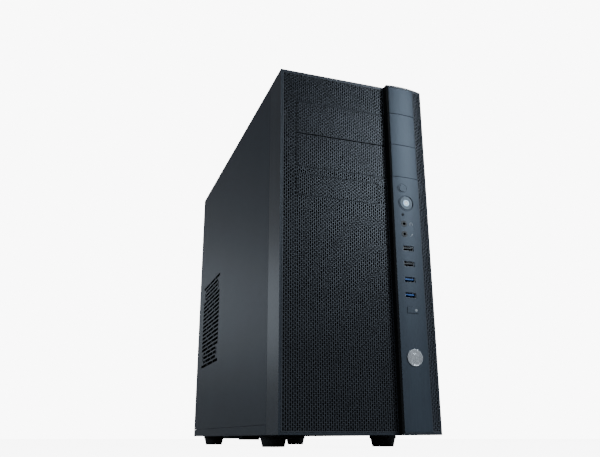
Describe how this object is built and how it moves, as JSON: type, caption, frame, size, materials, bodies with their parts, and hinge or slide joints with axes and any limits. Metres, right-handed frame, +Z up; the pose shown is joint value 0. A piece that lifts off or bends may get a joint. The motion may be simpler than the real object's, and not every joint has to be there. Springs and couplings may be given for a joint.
{
  "type": "desktop computer tower",
  "caption": "Upright computer case with a mesh front, a curved control strip with sockets and buttons, bay covers, vented sliding side panel and its electronics inside.",
  "frame": {"origin": "middle of the footprint on the floor", "axes": "+Z up, the front faces -Y, +X is to the right of a viewer at the front"},
  "size_m": [0.19, 0.498, 0.441],
  "materials": {
    "panel_paint": "fine satin powder coat",
    "chassis_paint": "satin black powder coat",
    "zinc_steel": "galvanised, dull",
    "port_metal": "plated",
    "foot_rubber": "matte",
    "black_plastic": "fine texture",
    "blade_plastic": "satin",
    "drive_alloy": "cast, satin",
    "cooler_alloy": "bright fins",
    "circuit_board": "solder mask",
    "panel_board": "solder mask",
    "standoff_brass": "turned",
    "lead_sleeve": "braided sleeve",
    "black_screw": "black zinc",
    "bezel_plastic": "fine satin",
    "strip_finish": "brushed satin",
    "mesh_paint": "perforated, satin",
    "filter_foam": "open foam",
    "clear_light": "clear, pale blue",
    "light_plastic": "frosted",
    "socket_plastic": "moulded",
    "badge_metal": "satin disc"
  },
  "bodies": {
    "chassis": {"base_pan": "panel_paint", "rear_panel": "chassis_paint", "top_panel": "panel_paint", "front_frame": "chassis_paint", "motherboard_tray": "chassis_paint", "bay_cage": "zinc_steel", "drive_cage": "zinc_steel", "drive_trays": "black_plastic", "hard_drive": "drive_alloy", "feet": "foot_rubber", "slot_covers": "zinc_steel", "motherboard": "circuit_board", "board_standoffs": "standoff_brass", "io_shield": "zinc_steel", "rear_ports": "port_metal", "cpu_heatsink": "cooler_alloy", "cpu_fan_frame": "black_plastic", "memory_modules": "circuit_board", "graphics_card": "circuit_board", "graphics_shroud": "black_plastic", "psu_housing": "chassis_paint", "psu_inlet": "black_plastic", "rear_fan_frame": "black_plastic", "front_fan_frame": "black_plastic", "main_power_cable": "lead_sleeve", "front_io_cable": "lead_sleeve", "case_screws": "zinc_steel", "fan_screws": "black_screw"},
    "left_panel": {"left_panel": "panel_paint"},
    "right_panel": {"right_panel": "panel_paint"},
    "left_upper_thumbscrew": {"left_upper_thumbscrew": "black_screw"},
    "left_lower_thumbscrew": {"left_lower_thumbscrew": "black_screw"},
    "right_upper_thumbscrew": {"right_upper_thumbscrew": "black_screw"},
    "right_lower_thumbscrew": {"right_lower_thumbscrew": "black_screw"},
    "rear_fan_rotor": {"rear_fan_rotor": "blade_plastic"},
    "front_fan_rotor": {"front_fan_rotor": "blade_plastic"},
    "cpu_fan_rotor": {"cpu_fan_rotor": "blade_plastic"},
    "psu_fan_rotor": {"psu_fan_rotor": "blade_plastic"},
    "graphics_fan_rotor": {"graphics_fan_rotor": "blade_plastic"},
    "psu_switch": {"psu_switch": "black_plastic"},
    "psu_dust_filter": {"psu_dust_filter": "filter_foam"},
    "front_bezel": {"front_bezel": "bezel_plastic", "control_strip": "strip_finish", "top_trim": "strip_finish", "front_mesh": "mesh_paint", "side_mesh": "mesh_paint", "front_filter": "filter_foam", "activity_light": "light_plastic", "usb_shells": "port_metal", "usb_tongues": "socket_plastic", "audio_jacks": "black_plastic", "front_io_board": "panel_board", "badge": "badge_metal"},
    "upper_bay_cover": {"upper_bay_cover": "mesh_paint"},
    "lower_bay_cover": {"lower_bay_cover": "mesh_paint"},
    "small_bay_cover": {"small_bay_cover": "mesh_paint"},
    "power_button": {"power_button": "strip_finish", "power_lens": "clear_light"},
    "reset_button": {"reset_button": "strip_finish"},
    "fan_button": {"fan_button": "strip_finish"}
  },
  "joints": [
    {"name": "left_panel_slide", "type": "slide", "parent": "chassis", "child": "left_panel", "axis": [0, 1, 0], "range_m": [0, 0.018]},
    {"name": "right_panel_slide", "type": "slide", "parent": "chassis", "child": "right_panel", "axis": [0, 1, 0], "range_m": [0, 0.018]},
    {"name": "left_upper_thumbscrew_turn", "type": "hinge", "parent": "left_panel", "child": "left_upper_thumbscrew", "pos_m": [-0.082, 0.241, 0.393], "axis": [0, 1, 0], "continuous": true},
    {"name": "left_lower_thumbscrew_turn", "type": "hinge", "parent": "left_panel", "child": "left_lower_thumbscrew", "pos_m": [-0.082, 0.241, 0.0715], "axis": [0, 1, 0], "continuous": true},
    {"name": "right_upper_thumbscrew_turn", "type": "hinge", "parent": "right_panel", "child": "right_upper_thumbscrew", "pos_m": [0.082, 0.241, 0.393], "axis": [0, 1, 0], "continuous": true},
    {"name": "right_lower_thumbscrew_turn", "type": "hinge", "parent": "right_panel", "child": "right_lower_thumbscrew", "pos_m": [0.082, 0.241, 0.0715], "axis": [0, 1, 0], "continuous": true},
    {"name": "bezel_pull", "type": "slide", "parent": "chassis", "child": "front_bezel", "axis": [0, -1, 0], "range_m": [0, 0.06]},
    {"name": "upper_bay_cover_pull", "type": "slide", "parent": "front_bezel", "child": "upper_bay_cover", "axis": [0, -1, 0], "range_m": [0, 0.035]},
    {"name": "lower_bay_cover_pull", "type": "slide", "parent": "front_bezel", "child": "lower_bay_cover", "axis": [0, -1, 0], "range_m": [0, 0.035]},
    {"name": "small_bay_cover_pull", "type": "slide", "parent": "front_bezel", "child": "small_bay_cover", "axis": [0, -1, 0], "range_m": [0, 0.035]},
    {"name": "power_button_press", "type": "slide", "parent": "front_bezel", "child": "power_button", "axis": [0, 1, 0], "range_m": [0, 0.002], "stiffness_N_per_m": 600},
    {"name": "reset_button_press", "type": "slide", "parent": "front_bezel", "child": "reset_button", "axis": [0, 1, 0], "range_m": [0, 0.0015], "stiffness_N_per_m": 600},
    {"name": "fan_button_press", "type": "slide", "parent": "front_bezel", "child": "fan_button", "axis": [0, 1, 0], "range_m": [0, 0.0015], "stiffness_N_per_m": 600},
    {"name": "rear_fan_spin", "type": "hinge", "parent": "chassis", "child": "rear_fan_rotor", "pos_m": [-0.034, 0.2159, 0.35], "axis": [0, 1, 0], "continuous": true},
    {"name": "front_fan_spin", "type": "hinge", "parent": "chassis", "child": "front_fan_rotor", "pos_m": [-0.025, -0.207, 0.11], "axis": [0, 1, 0], "continuous": true},
    {"name": "cpu_fan_spin", "type": "hinge", "parent": "chassis", "child": "cpu_fan_rotor", "pos_m": [-0.00595, 0.0901, 0.348], "axis": [0, 1, 0], "continuous": true},
    {"name": "psu_fan_spin", "type": "hinge", "parent": "chassis", "child": "psu_fan_rotor", "pos_m": [0, 0.1584, 0.03], "axis": [0, 0, 1], "continuous": true},
    {"name": "graphics_fan_spin", "type": "hinge", "parent": "chassis", "child": "graphics_fan_rotor", "pos_m": [0.01375, 0.0819, 0.20088], "axis": [0, 0, 1], "continuous": true},
    {"name": "psu_switch_rock", "type": "hinge", "parent": "chassis", "child": "psu_switch", "pos_m": [0.048, 0.2224, 0.042], "axis": [1, 0, 0], "range_deg": [0, 16]},
    {"name": "dust_filter_slide", "type": "slide", "parent": "chassis", "child": "psu_dust_filter", "axis": [0, 1, 0], "range_m": [0, 0.14]}
  ]
}
